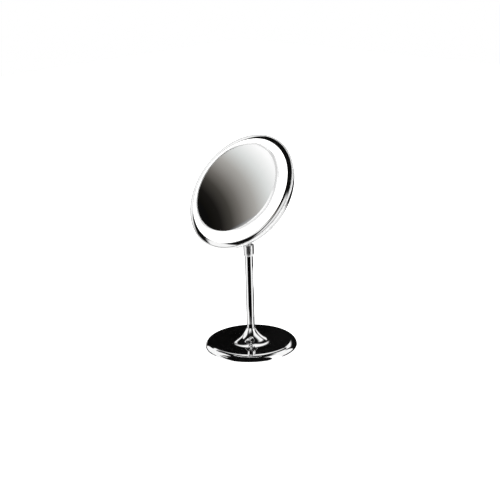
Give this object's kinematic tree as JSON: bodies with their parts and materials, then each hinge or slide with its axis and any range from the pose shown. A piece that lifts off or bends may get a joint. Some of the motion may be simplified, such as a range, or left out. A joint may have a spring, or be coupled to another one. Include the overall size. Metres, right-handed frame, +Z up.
{
  "type": "lighted vanity mirror",
  "caption": "Round magnifying vanity mirror with a lit frosted ring, tilting and turning on a height-adjustable chrome stem over a weighted trumpet-shaped base.",
  "frame": {"origin": "centre of the foot pad's underside, on the table", "axes": "+Z up along the stem; the mirror faces -Y and is tilted back 37.3 degrees at rest; +X to the mirror's own right as seen from the front"},
  "size_m": [0.216, 0.1637, 0.3736],
  "materials": {
    "polished_chrome": "polished chrome plate",
    "plated_trim": "bright chrome-plated trim",
    "satin_chrome": "finely brushed chrome",
    "zinc_steel": "zinc-plated steel",
    "cast_iron": "as cast, black",
    "pad_rubber": "matt black",
    "nylon": "natural nylon",
    "frosted_acrylic": "frosted, lit from behind",
    "silvered_glass": "silvered, polished",
    "foam_pad": "closed-cell foam",
    "white_moulding": "moulded, white",
    "black_moulding": "moulded, black",
    "circuit_board": "white solder mask",
    "cell_wrap": "plain printed sleeve without lettering",
    "nickel": "nickel-plated spring steel",
    "red_lead": "red insulation",
    "black_lead": "black insulation"
  },
  "bodies": {
    "base": {"foot_pad": "pad_rubber", "base_weight": "cast_iron", "base_cover": "polished_chrome", "base_bolt": "zinc_steel", "base_washer": "zinc_steel", "base_lock_washer": "zinc_steel", "stem_plug": "zinc_steel", "stem_tube": "polished_chrome", "friction_bush": "nylon"},
    "collar": {"stem_collar": "satin_chrome"},
    "lift": {"guide_sleeve": "nylon"},
    "mast": {"mast_rod": "polished_chrome", "retaining_clip": "zinc_steel", "pivot_knuckle": "polished_chrome", "cross_pin": "zinc_steel"},
    "door": {"battery_door": "plated_trim"},
    "button": {"switch_button": "black_moulding"},
    "head": {"head_shell": "polished_chrome", "front_flange": "plated_trim", "diffuser_ring": "frosted_acrylic", "mirror_bezel": "white_moulding", "mirror_glass": "silvered_glass", "glass_pad": "foam_pad", "mirror_carrier": "white_moulding", "reflector_ring": "white_moulding", "led_board": "circuit_board", "battery_tray": "white_moulding", "battery_cell_1": "cell_wrap", "battery_cell_2": "cell_wrap", "battery_cell_3": "cell_wrap", "battery_cell_4": "cell_wrap", "battery_spring_1": "nickel", "battery_spring_2": "nickel", "battery_spring_3": "nickel", "battery_spring_4": "nickel", "contact_plate_left": "nickel", "contact_plate_right": "nickel", "contact_plate_middle": "nickel", "driver_board": "circuit_board", "switch_body": "black_moulding", "battery_lead_red": "red_lead", "battery_lead_black": "black_lead", "led_lead_red": "red_lead", "led_lead_black": "black_lead", "pivot_yoke": "polished_chrome", "yoke_plate": "zinc_steel", "yoke_screw_upper": "zinc_steel", "yoke_screw_lower": "zinc_steel", "pivot_bolt": "polished_chrome", "acorn_nut": "polished_chrome", "friction_washer_left": "nylon", "friction_washer_right": "nylon", "spring_washer": "zinc_steel", "case_screw_1": "zinc_steel", "case_screw_2": "zinc_steel", "case_screw_3": "zinc_steel", "case_screw_4": "zinc_steel"}
  },
  "joints": [
    {"name": "collar_twist", "type": "hinge", "parent": "base", "child": "collar", "pos_m": [0, 0, 0.1775], "axis": [0, 0, 1], "range_deg": [0, 90]},
    {"name": "mast_slide", "type": "slide", "parent": "base", "child": "lift", "axis": [0, 0, 1], "range_m": [-0.025, 0.075]},
    {"name": "mast_turn", "type": "hinge", "parent": "lift", "child": "mast", "pos_m": [0, 0, 0.2], "axis": [0, 0, 1], "continuous": true},
    {"name": "head_tilt", "type": "hinge", "parent": "mast", "child": "head", "pos_m": [0, 0, 0.2317], "axis": [-1, 0, 0], "range_deg": [-47, 48]},
    {"name": "door_hinge", "type": "hinge", "parent": "head", "child": "door", "pos_m": [0, 0.03381, 0.30413], "axis": [1, 0, 0], "range_deg": [0, 80]},
    {"name": "button_press", "type": "slide", "parent": "head", "child": "button", "axis": [0, -0.7955, 0.606], "range_m": [0, 0.0015], "stiffness_N_per_m": 600}
  ]
}
